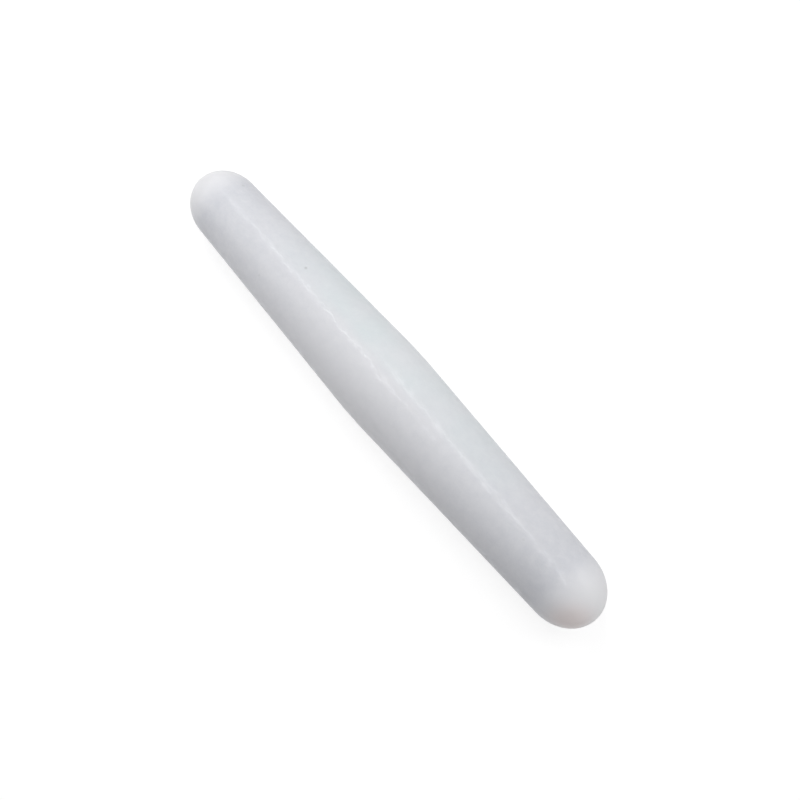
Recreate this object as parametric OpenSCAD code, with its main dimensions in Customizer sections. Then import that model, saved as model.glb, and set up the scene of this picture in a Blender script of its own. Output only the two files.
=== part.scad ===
// Double tapered magnetic stir bar
//
// One PTFE jacket is moulded round a rod magnet and seals it in for good.
// The jacket is widest at its belly, halfway along, so that the bar spins on one
// small spot. From there it tapers straight to a rounded cap at each end.
//
// X runs along the bar and Z points up. The origin is the lowest point of the
// belly, where the bar touches the floor of the vessel. Sizes are in millimetres.

/* [Jacket] */
// Length over both end caps
bar_length = 60; // [40:1:120]
// Diameter at the belly, the widest place
belly_d = 9; // [8.6:0.1:14]
// Diameter of the end caps, where the tapers run out into them
end_d = 7.2; // [5.6:0.1:8.4]
// Length of each end cap along the bar: half of end_d makes a half ball, more is drawn out
cap_length = 4.2; // [2.5:0.1:10]
// Radius of the soft rounding along the bar where the two tapers meet
belly_blend_r = 74; // [5:1:150]

/* [Magnet] */
// Diameter of the rod magnet
magnet_d = 5; // [2:0.1:5.4]
// Depth of solid jacket from the tip of each cap to the magnet
end_wall = 5; // [4:0.5:15]
// Chamfer round both ends of the magnet
magnet_chamfer = 0.4; // [0.1:0.1:0.9]
// Gap all round between the magnet and the jacket
magnet_clearance = 0.02; // [0.01:0.01:0.1]

/* [Hidden] */

PTFE_WHITE = [0.89, 0.90, 0.92];
MAGNET_GREY = [0.42, 0.43, 0.45];

// Facets round the bar
AROUND = 96;
// Straight steps in the outline of one cap, and of each half of the belly's arc
CAP_STEPS = 24;
BELLY_STEPS = 4;
// Halvings in the search for the taper angle
SEARCH_ROUNDS = 40;

belly_r = belly_d / 2;
cap_r = end_d / 2;
cap_start = bar_length / 2 - cap_length;
magnet_length = bar_length - 2 * end_wall;

// The outline is described by the angle that its outward normal leans from
// square to the bar: 0 at the belly, taper along the straight, 90 at the tip.

// Distance from the bar's middle to the line that touches the belly's arc at this lean
function belly_reach(lean) = belly_blend_r + (belly_r - belly_blend_r) * cos(lean);

// Half width of the cap's ellipse, seen along the line that touches it at this lean
function cap_half_width(lean) = norm([cap_length * sin(lean), cap_r * cos(lean)]);

// Distance from the bar's middle to the line that touches the cap at this lean
function cap_reach(lean) = cap_start * sin(lean) + cap_half_width(lean);

// Lean of the one straight line that touches both the belly's arc and the cap
function common_lean(low, high, rounds) =
    let (middle = (low + high) / 2)
    rounds == 0 ? middle
    : cap_reach(middle) > belly_reach(middle) ? common_lean(low, middle, rounds - 1)
    : common_lean(middle, high, rounds - 1);

taper = common_lean(0, 45, SEARCH_ROUNDS);

// Points of the outline as [distance from the axis, place along the bar]
function belly_point(lean) = [
    belly_r - belly_blend_r * (1 - cos(lean)),
    belly_blend_r * sin(lean)
];

function cap_point(lean) = [
    cap_r * cap_r * cos(lean) / cap_half_width(lean),
    cap_start + cap_length * cap_length * sin(lean) / cap_half_width(lean)
];

// One half of the outline, from the belly to the tip
half_outline = concat(
    [for (i = [0 : BELLY_STEPS]) belly_point(taper * i / BELLY_STEPS)],
    [for (i = [0 : CAP_STEPS]) cap_point(taper + (90 - taper) * i / CAP_STEPS)]
);

// The other half, mirrored, from its tip up to the belly
mirrored_outline = [
    for (i = [len(half_outline) - 1 : -1 : 1]) [half_outline[i].x, -half_outline[i].y]
];

// Turns a form made along Z so that it lies along the bar
module along_bar() {
    translate([0, 0, belly_r])
        rotate([0, 90, 0])
            children();
}

// The rod magnet's form, grown on every face by a clearance
module magnet_rod(clearance = 0) {
    r = magnet_d / 2 + clearance;
    half = magnet_length / 2 + clearance;
    rotate_extrude($fn = AROUND)
        polygon([
            [0, -half],
            [r - magnet_chamfer, -half],
            [r, -half + magnet_chamfer],
            [r, half - magnet_chamfer],
            [r - magnet_chamfer, half],
            [0, half]
        ]);
}

// White PTFE jacket, one piece, closed all round the magnet
module ptfe_jacket() {
    color(PTFE_WHITE)
        along_bar()
            difference() {
                rotate_extrude($fn = AROUND)
                    polygon(concat(mirrored_outline, half_outline));
                magnet_rod(magnet_clearance);
            }
}

// Cast rod magnet with chamfered ends, magnetised along its length
module bar_magnet() {
    color(MAGNET_GREY)
        along_bar()
            magnet_rod();
}

ptfe_jacket();
bar_magnet();
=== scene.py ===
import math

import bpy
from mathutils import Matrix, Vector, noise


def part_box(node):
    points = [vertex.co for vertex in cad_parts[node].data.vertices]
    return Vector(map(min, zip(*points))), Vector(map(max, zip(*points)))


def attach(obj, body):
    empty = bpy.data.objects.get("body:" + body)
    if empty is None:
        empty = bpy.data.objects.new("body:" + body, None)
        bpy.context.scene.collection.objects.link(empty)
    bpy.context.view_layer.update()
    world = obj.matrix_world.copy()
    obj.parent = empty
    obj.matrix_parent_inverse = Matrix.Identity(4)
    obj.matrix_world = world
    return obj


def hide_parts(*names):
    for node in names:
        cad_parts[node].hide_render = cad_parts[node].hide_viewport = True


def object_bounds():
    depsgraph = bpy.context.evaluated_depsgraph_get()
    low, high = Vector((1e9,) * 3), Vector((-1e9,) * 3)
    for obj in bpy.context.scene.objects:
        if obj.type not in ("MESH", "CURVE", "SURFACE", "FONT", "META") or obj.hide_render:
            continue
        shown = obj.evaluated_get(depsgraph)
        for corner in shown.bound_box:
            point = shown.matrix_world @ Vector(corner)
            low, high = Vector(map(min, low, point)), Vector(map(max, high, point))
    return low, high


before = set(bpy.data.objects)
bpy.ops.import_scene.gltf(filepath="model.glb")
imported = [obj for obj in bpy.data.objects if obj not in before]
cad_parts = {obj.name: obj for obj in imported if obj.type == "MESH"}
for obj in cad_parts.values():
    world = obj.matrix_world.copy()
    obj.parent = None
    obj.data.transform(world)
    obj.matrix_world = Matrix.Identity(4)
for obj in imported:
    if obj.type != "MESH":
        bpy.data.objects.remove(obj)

# Looks of the double tapered magnetic stir bar: the white PTFE jacket with its fine
# moulded skin, and the ground rod magnet sealed inside it. Sizes are in metres, X runs
# along the bar and Z points up.

# One millimetre
MM = 0.001

cad_low, cad_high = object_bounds()
jacket_low, jacket_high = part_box("ptfe_jacket")
magnet_low, magnet_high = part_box("bar_magnet")

# The jacket's outline: what the frame's boxes give, and the part's own named sizes
HALF_LENGTH = (jacket_high.x - jacket_low.x) / 2
BELLY_RADIUS = (jacket_high.y - jacket_low.y) / 2
AXIS_HEIGHT = (jacket_high.z + jacket_low.z) / 2
CAP_RADIUS = 3.6 * MM
CAP_LENGTH = 4.2 * MM
BELLY_BLEND_RADIUS = 74 * MM
CAP_START = HALF_LENGTH - CAP_LENGTH

# The sealed chamber that holds the magnet
CHAMBER_CLEARANCE = 0.02 * MM
CHAMBER_RADIUS = (magnet_high.y - magnet_low.y) / 2 + CHAMBER_CLEARANCE
CHAMBER_HALF_LENGTH = (magnet_high.x - magnet_low.x) / 2 + CHAMBER_CLEARANCE
CHAMBER_CHAMFER = 0.4 * MM


# ---------------------------------------------------------------- the jacket's form

# Halvings in the search for the taper's lean
SEARCH_ROUNDS = 50
# Steps in half of the skin's outline, and facets round the skin and round the chamber
BELLY_STEPS = 18
TAPER_STEPS = 145
CAP_STEPS = 40
AROUND_SKIN = 224
AROUND_CHAMBER = 64

# How far the moulded skin may dip below its true form
SKIN_DEPTH = 0.045 * MM
# Waves in the moulded skin: (length along the bar, length across it, share of the depth)
SKIN_WAVES = (
    (9.0 * MM, 5.0 * MM, 0.36),
    (2.8 * MM, 1.9 * MM, 0.30),
    (1.3 * MM, 1.1 * MM, 0.34),
)
# Step in the noise from one wave to the next, so that they don't follow each other
WAVE_STEP = Vector((17.3, 0, 0))


def cap_half_width(lean):
    """Half width of the cap's ellipse, seen along the line that touches it at this lean."""
    return math.hypot(CAP_LENGTH * math.sin(lean), CAP_RADIUS * math.cos(lean))


def taper_lean():
    """Lean of the straight line that touches both the belly's arc and the cap, by halving."""
    low, high = 0.0, math.radians(45)
    for _ in range(SEARCH_ROUNDS):
        lean = (low + high) / 2
        cap_reach = CAP_START * math.sin(lean) + cap_half_width(lean)
        belly_reach = BELLY_BLEND_RADIUS + (BELLY_RADIUS - BELLY_BLEND_RADIUS) * math.cos(lean)
        if cap_reach > belly_reach:
            high = lean
        else:
            low = lean
    return (low + high) / 2


def belly_point(lean):
    """(place along the bar, radius) on the belly's arc."""
    return BELLY_BLEND_RADIUS * math.sin(lean), BELLY_RADIUS - BELLY_BLEND_RADIUS * (1 - math.cos(lean))


def cap_point(lean):
    """(place along the bar, radius) on the cap."""
    width = cap_half_width(lean)
    return (CAP_START + CAP_LENGTH ** 2 * math.sin(lean) / width,
            CAP_RADIUS ** 2 * math.cos(lean) / width)


def outline():
    """(place along the bar, radius) of the jacket's rings, from one tip to the other, without the tips."""
    taper = taper_lean()
    half = [belly_point(taper * i / BELLY_STEPS) for i in range(BELLY_STEPS + 1)]
    (belly_x, belly_r), (cap_x, cap_r) = half[-1], cap_point(taper)
    for i in range(1, TAPER_STEPS):
        share = i / TAPER_STEPS
        half.append((belly_x + (cap_x - belly_x) * share, belly_r + (cap_r - belly_r) * share))
    half += [cap_point(taper + (math.pi / 2 - taper) * i / CAP_STEPS) for i in range(CAP_STEPS)]
    return [(-x, r) for x, r in reversed(half[1:])] + half


def skin_dip(point):
    """How far the moulded skin dips below its true form at this point, from 0 to SKIN_DEPTH."""
    total = 0.0
    for number, (along, across, share) in enumerate(SKIN_WAVES):
        place = Vector((point.x / along, point.y / across, point.z / across))
        total += share * noise.noise(place + number * WAVE_STEP)
    return SKIN_DEPTH * min(1.0, max(0.0, 0.5 + 0.5 * total))


def revolve(rings, tips, around, name, dip=None, inward=False):
    """A closed mesh turned round the bar's axis. rings are (place along the bar, radius), and
    tips the two places on the axis. dip(point) sinks each point, and inward turns the faces in."""
    axis = Vector((0, 0, AXIS_HEIGHT))
    verts = []
    for x, r in rings:
        for k in range(around):
            turn = 2 * math.pi * k / around
            out = Vector((0, math.cos(turn), math.sin(turn)))
            point = axis + Vector((x, 0, 0)) + out * r
            if dip:
                point -= out * dip(point)
            verts.append(point)
    first_tip, last_tip = len(verts), len(verts) + 1
    verts += [axis + Vector((x, 0, 0)) for x in tips]

    faces = []
    last_ring = (len(rings) - 1) * around
    for k in range(around):
        after = (k + 1) % around
        faces.append((first_tip, after, k))
        faces.append((last_tip, last_ring + k, last_ring + after))
        for row in range(0, last_ring, around):
            faces.append((row + k, row + after, row + around + after, row + around + k))
    if inward:
        faces = [tuple(reversed(f)) for f in faces]
    mesh = bpy.data.meshes.new(name)
    mesh.from_pydata(verts, [], faces)
    mesh.validate()
    return mesh


def link_new(name, data):
    """A new object of this data, in the scene."""
    made = bpy.data.objects.new(name, data)
    bpy.context.scene.collection.objects.link(made)
    return made


def make_jacket():
    """The jacket: its skin outside, and the chamber's wall inside, as one closed shell."""
    skin = revolve(outline(), (-HALF_LENGTH, HALF_LENGTH), AROUND_SKIN, "ptfe_skin", dip=skin_dip)
    end, r, c = CHAMBER_HALF_LENGTH, CHAMBER_RADIUS, CHAMBER_CHAMFER
    wall_rings = [(-end, r - c), (-end + c, r), (end - c, r), (end, r - c)]
    chamber = revolve(wall_rings, (-end, end), AROUND_CHAMBER, "ptfe_chamber", inward=True)
    for polygon in skin.polygons:
        polygon.use_smooth = True
    jacket = link_new("ptfe_jacket_skin", skin)
    inner = link_new("ptfe_chamber", chamber)
    with bpy.context.temp_override(active_object=jacket, object=jacket,
                                   selected_objects=[jacket, inner],
                                   selected_editable_objects=[jacket, inner]):
        bpy.ops.object.join()
    return jacket


# ---------------------------------------------------------------- shader nodes

WHITE = (1, 1, 1, 1)
# Most of a noise's values lie between these
NOISE_LOW, NOISE_HIGH = 0.3, 0.7


def new_material(name):
    """An empty node material, and its tree."""
    material = bpy.data.materials.new(name)
    material.use_nodes = True
    tree = material.node_tree
    tree.nodes.clear()
    return material, tree


def add(tree, kind, settings=None, **inputs):
    """Adds a node. settings are its own properties. inputs are values or sockets, each by its
    input's name with _ for a space, or by i and its number, such as i0."""
    node = tree.nodes.new(kind)
    for key, value in (settings or {}).items():
        setattr(node, key, value)
    for key, value in inputs.items():
        by_number = key[0] == "i" and key[1:].isdigit()
        socket = node.inputs[int(key[1:]) if by_number else key.replace("_", " ")]
        if isinstance(value, bpy.types.NodeSocket):
            tree.links.new(value, socket)
        else:
            socket.default_value = value
    return node


def maths(tree, operation, *values):
    """The number that the operation makes of these values."""
    inputs = {f"i{number}": value for number, value in enumerate(values)}
    return add(tree, "ShaderNodeMath", {"operation": operation}, **inputs).outputs[0]


def vector_maths(tree, operation, *vectors, result="Vector"):
    """The vector that the operation makes of these, or with result="Value" the number."""
    inputs = {f"i{number}": vector for number, vector in enumerate(vectors)}
    return add(tree, "ShaderNodeVectorMath", {"operation": operation}, **inputs).outputs[result]


def ramp(tree, value, start, end, first, last, shape="LINEAR"):
    """first up to where value is start, last from where it is end, and a slope between them."""
    return add(tree, "ShaderNodeMapRange", {"interpolation_type": shape},
               Value=value, i1=start, i2=end, i3=first, i4=last).outputs[0]


def near(tree, place, point, inside, outside):
    """1 within inside of the point, falling smoothly to 0 at outside."""
    away = vector_maths(tree, "DISTANCE", place, point, result="Value")
    return ramp(tree, away, inside, outside, 1.0, 0.0, "SMOOTHERSTEP")


def blend(tree, factor, first, second, how="MIX"):
    """The first colour, mixed with the second or multiplied by it, as far as factor says."""
    return add(tree, "ShaderNodeMix", {"data_type": "RGBA", "blend_type": how},
               Factor=factor, i6=first, i7=second).outputs[2]


def clouds(tree, place, scale, detail, roughness=0.5):
    """Cloudy noise, with this many cells to the metre."""
    return add(tree, "ShaderNodeTexNoise", Vector=place, Scale=scale, Detail=detail,
               Roughness=roughness).outputs["Fac"]


def bumped(tree, height, depth, strength=1.0):
    """The surface's normal, tilted by a height that runs from 0 to 1 over this depth."""
    return add(tree, "ShaderNodeBump", Strength=strength, Distance=depth,
               Height=height).outputs["Normal"]


def looked_at(tree):
    """1 for rays that look at a backdrop: straight from the camera, or by way of gloss or glass."""
    rays = add(tree, "ShaderNodeLightPath").outputs
    gloss = maths(tree, "MAXIMUM", rays["Is Glossy Ray"], rays["Is Transmission Ray"])
    return maths(tree, "MAXIMUM", rays["Is Camera Ray"], gloss)


def to_output(tree, shader, kind="ShaderNodeOutputMaterial"):
    """Sends the shader to the output of the material or the world."""
    tree.links.new(shader.outputs[0], add(tree, kind).inputs["Surface"])


# ---------------------------------------------------------------- the PTFE

# White PTFE in the thick, and the bluish grey that it would have over the magnet with no wall left
PTFE_THICK = (0.930, 0.930, 0.955, 1)
PTFE_THIN = (0.470, 0.500, 0.578, 1)
# Depth of wall that hides most of the magnet, and how unevenly it does so
SHOW_DEPTH = 1.15 * MM
MOTTLE = 0.18
# Least and greatest roughness of the skin
PTFE_ROUGHNESS = (0.38, 0.46)

# What the colour is multiplied by along the flank that faces +Y: painted cool light, a tint that stands in
# for cool light on that flank and is not a colour of the PTFE itself
COOL_LIGHT_PAINT = (0.945, 1.0, 0.985, 1)
# The tint sets in between these places across the bar
COOL_FROM, COOL_TO = -1.3 * MM, 0.9 * MM
# The middle of its stretch along the bar, how far it stays full from there, and where it ends
COOL_MIDDLE = (-1 * MM, 0, AXIS_HEIGHT)
COOL_FULL, COOL_END = 12 * MM, 21 * MM
# It lies in patches: the noise at their edges and inside them, and the share of it between them
PATCH_EDGE, PATCH_INSIDE = 0.35, 0.60
PATCH_GAP = 0.4

# A pink blush low on the +X cap: its colour, its middle, how far it stays full, and where it ends
BLUSH = (0.95, 0.865, 0.86, 1)
BLUSH_MIDDLE = (29.0 * MM, -2.1 * MM, AXIS_HEIGHT + 0.8 * MM)
BLUSH_FULL, BLUSH_END = 0.2 * MM, 3.4 * MM

# Specks moulded into the skin: (place along the bar, degrees from the top towards +Y, radius, strength)
SPECKS = (
    (-13.1 * MM, 9.6, 0.15 * MM, 0.85),
    (-25.2 * MM, 32.0, 0.16 * MM, 0.50),
    (-16.0 * MM, -48.0, 0.13 * MM, 0.25),
    (21.1 * MM, -17.4, 0.12 * MM, 0.25),
)
SPECK = (0.60, 0.62, 0.63, 1)
# Shares of its radius up to which a speck stays full, and at which it ends
SPECK_FULL, SPECK_END = 0.3, 1.6

# How fine each noise in the PTFE is, in noise cells to the metre
MOTTLE_SCALE = 1100.0
PATCH_SCALE = 200.0
DENT_SCALE = 1500.0
GRAIN_SCALE = 2600.0
# Depth of the dents that the gloss shows, and of the grain under it
DENT_DEPTH = 0.05 * MM
GRAIN_DEPTH = 0.0025 * MM


def on_skin(x, degrees):
    """The point of the skin at this place along the bar, turned from the top towards +Y."""
    turn = math.radians(degrees)
    r = BELLY_RADIUS + (CAP_RADIUS - BELLY_RADIUS) * abs(x) / CAP_START
    return x, r * math.sin(turn), AXIS_HEIGHT + r * math.cos(turn)


def wall_over_magnet(tree, place):
    """Depth of PTFE between this place and the chamber, as if the chamber had no chamfers."""
    centred = vector_maths(tree, "SUBTRACT", place, (0, 0, AXIS_HEIGHT))
    along = add(tree, "ShaderNodeSeparateXYZ", Vector=vector_maths(tree, "ABSOLUTE", centred))
    across = vector_maths(tree, "MULTIPLY", centred, (0, 1, 1))
    radius = vector_maths(tree, "LENGTH", across, result="Value")
    profile = add(tree, "ShaderNodeCombineXYZ", X=along.outputs["X"], Y=radius)
    beyond = vector_maths(tree, "SUBTRACT", profile.outputs[0], (CHAMBER_HALF_LENGTH, CHAMBER_RADIUS, 0))
    outside = vector_maths(tree, "MAXIMUM", beyond, (0, 0, 0))
    return vector_maths(tree, "LENGTH", outside, result="Value")


def ptfe_material():
    """White PTFE: satin and a little translucent, duller and bluer where its wall is thin."""
    material, tree = new_material("white_ptfe")
    place = add(tree, "ShaderNodeTexCoord").outputs["Object"]

    # The magnet shows through, fading with the depth of the wall, and a little unevenly
    mottle = clouds(tree, place, MOTTLE_SCALE, detail=3.0, roughness=0.8)
    uneven = ramp(tree, mottle, NOISE_LOW, NOISE_HIGH, 1 + MOTTLE, 1 - MOTTLE)
    depth = maths(tree, "MULTIPLY", wall_over_magnet(tree, place), -1 / SHOW_DEPTH)
    showing = maths(tree, "MULTIPLY", maths(tree, "EXPONENT", depth), uneven)
    colour = blend(tree, showing, PTFE_THICK, PTFE_THIN)

    # Painted cool light: a patchy cool tint along the middle of the flank that faces +Y
    patches = clouds(tree, place, PATCH_SCALE, detail=1.0)
    patchy = ramp(tree, patches, PATCH_EDGE, PATCH_INSIDE, PATCH_GAP, 1.0)
    across = add(tree, "ShaderNodeSeparateXYZ", Vector=place).outputs["Y"]
    flank = ramp(tree, across, COOL_FROM, COOL_TO, 0.0, 1.0, "SMOOTHERSTEP")
    stretch = near(tree, place, COOL_MIDDLE, COOL_FULL, COOL_END)
    painted_cool_light = maths(tree, "MULTIPLY", maths(tree, "MULTIPLY", patchy, flank), stretch)
    # The painted cool light tints the colour here
    colour = blend(tree, painted_cool_light, colour, COOL_LIGHT_PAINT, "MULTIPLY")

    blush = near(tree, place, BLUSH_MIDDLE, BLUSH_FULL, BLUSH_END)
    colour = blend(tree, blush, colour, BLUSH)

    for x, degrees, radius, strength in SPECKS:
        spot = near(tree, place, on_skin(x, degrees), SPECK_FULL * radius, SPECK_END * radius)
        colour = blend(tree, maths(tree, "MULTIPLY", spot, strength), colour, SPECK)

    # The gloss follows every dent of the skin. The light from inside is too soft to show them.
    dents = bumped(tree, clouds(tree, place, DENT_SCALE, detail=0.0), DENT_DEPTH)
    grain = bumped(tree, clouds(tree, place, GRAIN_SCALE, detail=3.0, roughness=0.6), GRAIN_DEPTH)
    shader = add(tree, "ShaderNodeBsdfPrincipled", Base_Color=colour,
                 Roughness=ramp(tree, mottle, NOISE_LOW, NOISE_HIGH, *PTFE_ROUGHNESS),
                 IOR=1.36, Specular_IOR_Level=0.05, Subsurface_Weight=0.25,
                 Subsurface_Radius=(1.0, 1.0, 1.0), Subsurface_Scale=2.0 * MM, Normal=grain,
                 Coat_Weight=0.2, Coat_Roughness=0.17, Coat_IOR=1.65, Coat_Normal=dents)
    to_output(tree, shader)
    return material


# ---------------------------------------------------------------- the magnet

MAGNET_DARK = (0.36, 0.37, 0.38, 1)
MAGNET_LIGHT = (0.50, 0.50, 0.52, 1)
MAGNET_ROUGHNESS = (0.35, 0.55)
# Noise cells to the metre along the magnet and across it, so that its marks run round it
MARK_SCALE = (6000.0, 300.0, 300.0)
MARK_DEPTH = 0.002 * MM


def magnet_material():
    """Ground cast magnet alloy: dull grey metal with fine marks round it."""
    material, tree = new_material("ground_alnico")
    place = add(tree, "ShaderNodeTexCoord").outputs["Object"]
    stretched = add(tree, "ShaderNodeMapping", Vector=place, Scale=MARK_SCALE)
    marks = clouds(tree, stretched.outputs[0], 1.0, detail=3.0)
    shader = add(tree, "ShaderNodeBsdfPrincipled",
                 Base_Color=blend(tree, marks, MAGNET_DARK, MAGNET_LIGHT), Metallic=1.0,
                 Roughness=ramp(tree, marks, NOISE_LOW, NOISE_HIGH, *MAGNET_ROUGHNESS),
                 Normal=bumped(tree, marks, MARK_DEPTH, strength=0.6))
    to_output(tree, shader)
    return material


# ---------------------------------------------------------------- the floor

# The floor is wide enough to reach the horizon in low views. In metres.
FLOOR_SIZE = 30
FLOOR_GREY = (0.8, 0.8, 0.8, 1)
# The floor as it is seen: a matt part that takes lamplight and shadow, and a lift, light of
# its own, that brings it to white both where the lamps reach and where they don't
FLOOR_MATT = (0.28, 0.28, 0.28, 1)
LAMPLIT_LIFT, UNLIT_LIFT = 0.82, 1.0
# The lamps are taken to light all the floor this near to the bar, and none of it this far away
LAMPLIT_FULL, LAMPLIT_END = 60 * MM, 220 * MM


def floor_material():
    """Pale matt floor. The camera and gloss see it as white, with the bar's shadow on it."""
    material, tree = new_material("pale_floor")
    material.cycles.emission_sampling = "NONE"
    place = add(tree, "ShaderNodeTexCoord").outputs["Object"]
    lamplit = near(tree, place, (0, 0, 0), LAMPLIT_FULL, LAMPLIT_END)
    plain = add(tree, "ShaderNodeBsdfDiffuse", Color=FLOOR_GREY)
    matt = add(tree, "ShaderNodeBsdfDiffuse", Color=FLOOR_MATT)
    lift = add(tree, "ShaderNodeEmission", Color=WHITE,
               Strength=ramp(tree, lamplit, 0.0, 1.0, UNLIT_LIFT, LAMPLIT_LIFT))
    white = add(tree, "ShaderNodeAddShader", i0=matt.outputs[0], i1=lift.outputs[0])
    mix = add(tree, "ShaderNodeMixShader", i0=looked_at(tree), i1=plain.outputs[0], i2=white.outputs[0])
    to_output(tree, mix)
    return material


def make_floor():
    """The floor that the bar rests on."""
    bpy.ops.mesh.primitive_plane_add(size=FLOOR_SIZE, location=(0, 0, cad_low.z))
    floor = bpy.context.object
    floor.name = "floor"
    floor.data.materials.append(floor_material())


# ---------------------------------------------------------------- the studio

# The camera looks down on the bar, whose +X end is the nearer one
CAMERA_AZIMUTH = math.radians(51.14)
CAMERA_ELEVATION = math.radians(64.15)
CAMERA_DISTANCE = 138.1 * MM
# Focal length in millimetres, as the camera takes it
CAMERA_LENS = 64.7
# Where the middle of the picture lies from the middle of the bar, to the right and down
FRAMING_RIGHT = 1.42 * MM
FRAMING_DOWN = 1.48 * MM
# Nearest that the camera sees
CLIP_START = 10 * MM

# The studio's own directions, square to the camera: to the right, away from it, and up
RIGHT = Vector((math.cos(CAMERA_AZIMUTH), math.sin(CAMERA_AZIMUTH), 0))
AWAY = Vector((-math.sin(CAMERA_AZIMUTH), math.cos(CAMERA_AZIMUTH), 0))
UP = Vector((0, 0, 1))
BAR_CENTRE = Vector((0, 0, AXIS_HEIGHT))


def studio(right, away, up):
    """A point given from the middle of the bar in the studio's directions."""
    return BAR_CENTRE + RIGHT * right + AWAY * away + UP * up


def make_camera():
    """The camera, not tilted sideways, with the bar a little off the middle of its picture."""
    camera_data = bpy.data.cameras.new("camera")
    camera_data.lens = CAMERA_LENS
    camera_data.clip_start = CLIP_START
    camera = link_new("camera", camera_data)
    back = UP * math.sin(CAMERA_ELEVATION) - AWAY * math.cos(CAMERA_ELEVATION)
    up = back.cross(RIGHT)
    turn = Matrix((RIGHT, up, back)).transposed().to_4x4()
    place = BAR_CENTRE + back * CAMERA_DISTANCE + RIGHT * FRAMING_RIGHT - up * FRAMING_DOWN
    camera.matrix_world = Matrix.Translation(place) @ turn
    bpy.context.scene.camera = camera


# Soft square lamps that face the bar: (name, right, away, up, radiance)
SOFT_LAMP_SIZE = 78 * MM
SOFT_LAMPS = (
    ("right", 92 * MM, 0 * MM, 92 * MM, 2.0),
    ("left", -109 * MM, 44 * MM, 55 * MM, 1.8),
    ("back", -44 * MM, 109 * MM, 55 * MM, 1.05),
)

# Two lamp strips side by side overhead, each a thin streak along the bar's gloss:
# (name, right, nearest away, farthest away, radiance)
STRIP_HEIGHT = 120 * MM
STRIP_WIDTH = 5 * MM
STRIPS = (
    ("strip_left", -46 * MM, -3 * MM, 98 * MM, 24.5),
    ("strip_right", 5 * MM, -75 * MM, 62 * MM, 18.5),
)

# The studio's walls and ceiling glow softly, most towards this side, and this strongly there
GLOW_SIDE = (RIGHT - AWAY + 0.8 * UP).normalized()
GLOW = 0.52


def make_lamp(name, place, width, depth, radiance, target=BAR_CENTRE):
    """A rectangular lamp that faces target. Its depth lies as nearly along AWAY as it can."""
    data = bpy.data.lights.new(name, "AREA")
    data.shape = "RECTANGLE"
    data.size = width
    data.size_y = depth
    data.energy = radiance * math.pi * width * depth
    lamp = link_new(name, data)
    facing = (place - target).normalized()
    across = AWAY.cross(facing).normalized()
    along = facing.cross(across)
    turn = Matrix((across, along, facing)).transposed().to_4x4()
    lamp.matrix_world = Matrix.Translation(place) @ turn
    lamp.visible_camera = False


def make_lamps():
    """The soft lamps, and the strips that shine straight down."""
    for name, right, away, up, radiance in SOFT_LAMPS:
        make_lamp(name, studio(right, away, up), SOFT_LAMP_SIZE, SOFT_LAMP_SIZE, radiance)
    for name, right, nearest, farthest, radiance in STRIPS:
        place = studio(right, (nearest + farthest) / 2, STRIP_HEIGHT)
        make_lamp(name, place, STRIP_WIDTH, farthest - nearest, radiance, target=place - UP)


def make_world():
    """White behind everything that the camera and gloss see. The rest is lit by the glow."""
    world = bpy.data.worlds.new("studio_world")
    world.use_nodes = True
    tree = world.node_tree
    tree.nodes.clear()
    towards = add(tree, "ShaderNodeTexCoord").outputs["Generated"]
    facing = vector_maths(tree, "DOT_PRODUCT", towards, GLOW_SIDE, result="Value")
    glow = add(tree, "ShaderNodeBackground", Color=WHITE, Strength=ramp(tree, facing, 0.0, 1.0, 0.0, GLOW))
    white = add(tree, "ShaderNodeBackground", Color=WHITE, Strength=1.0)
    mix = add(tree, "ShaderNodeMixShader", i0=looked_at(tree), i1=glow.outputs[0], i2=white.outputs[0])
    to_output(tree, mix, "ShaderNodeOutputWorld")
    bpy.context.scene.world = world


# ---------------------------------------------------------------- the build

bpy.context.scene.view_settings.view_transform = "Standard"
make_camera()
make_world()
make_floor()
make_lamps()

jacket = make_jacket()
jacket.data.materials.append(ptfe_material())
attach(jacket, "root")
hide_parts("ptfe_jacket")

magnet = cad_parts["bar_magnet"]
magnet.data.materials.clear()
magnet.data.materials.append(magnet_material())
